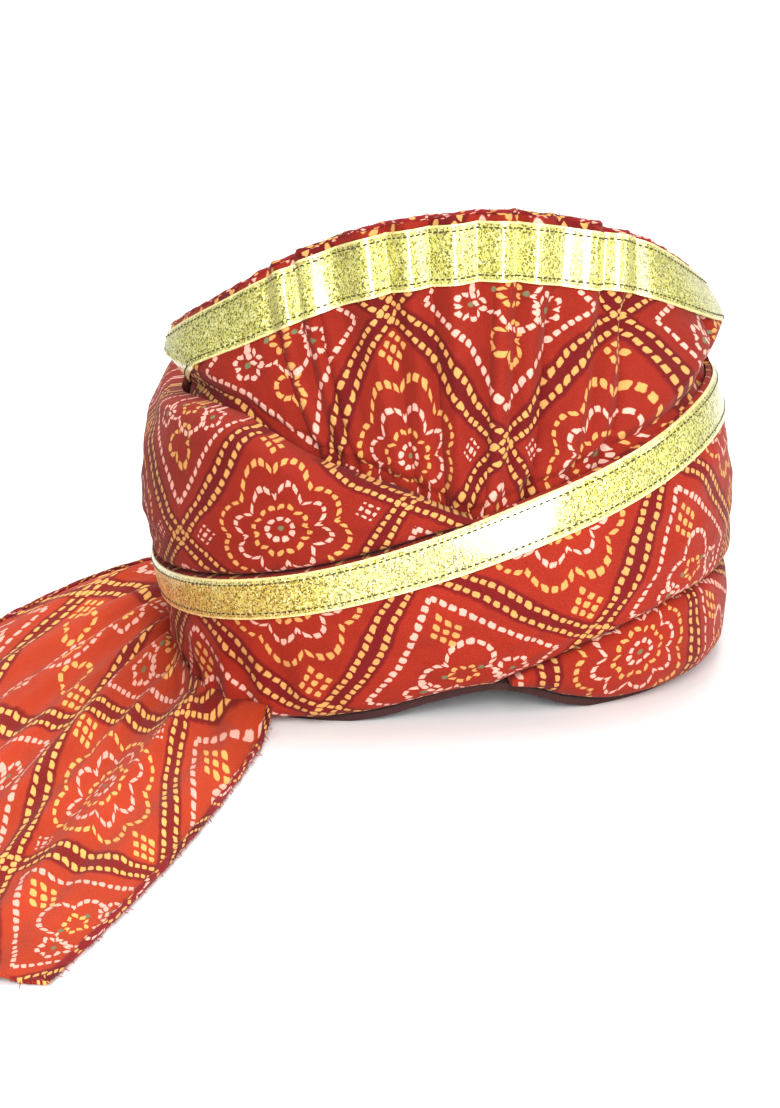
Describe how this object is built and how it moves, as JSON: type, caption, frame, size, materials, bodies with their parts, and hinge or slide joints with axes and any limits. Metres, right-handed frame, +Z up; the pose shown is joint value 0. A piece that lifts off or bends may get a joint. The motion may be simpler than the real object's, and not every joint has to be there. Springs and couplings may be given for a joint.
{
  "type": "ready-tied pagri turban",
  "caption": "Ready-tied pagri turban of wound print cloth with a pleated standing crest, gold ribbon trims and a loose tail, hollow for the head.",
  "frame": {"origin": "centre of the head opening, on the surface that the turban stands on", "axes": "+Z up out of the crown, -Y towards the front with the pleated crest, +X towards the right of the picture"},
  "size_m": [0.3769, 0.4346, 0.1758],
  "materials": {
    "print_cloth": "red cotton voile with a tie-dye dot print in yellow and white",
    "gold_ribbon": "gold glitter ribbon with a plain pale edge",
    "lining_cloth": "plain dark brown cloth facing"
  },
  "bodies": {
    "root": {"rim_lining": "lining_cloth", "crown_band": "print_cloth", "crown": "print_cloth", "inner_wrap": "print_cloth", "inner_wrap_top": "print_cloth", "fan": "print_cloth", "fan_ribbon": "gold_ribbon", "left_wrap": "print_cloth", "lower_wrap": "print_cloth", "band_ribbon": "gold_ribbon", "under_wrap": "print_cloth", "tail": "print_cloth"}
  },
  "joints": []
}
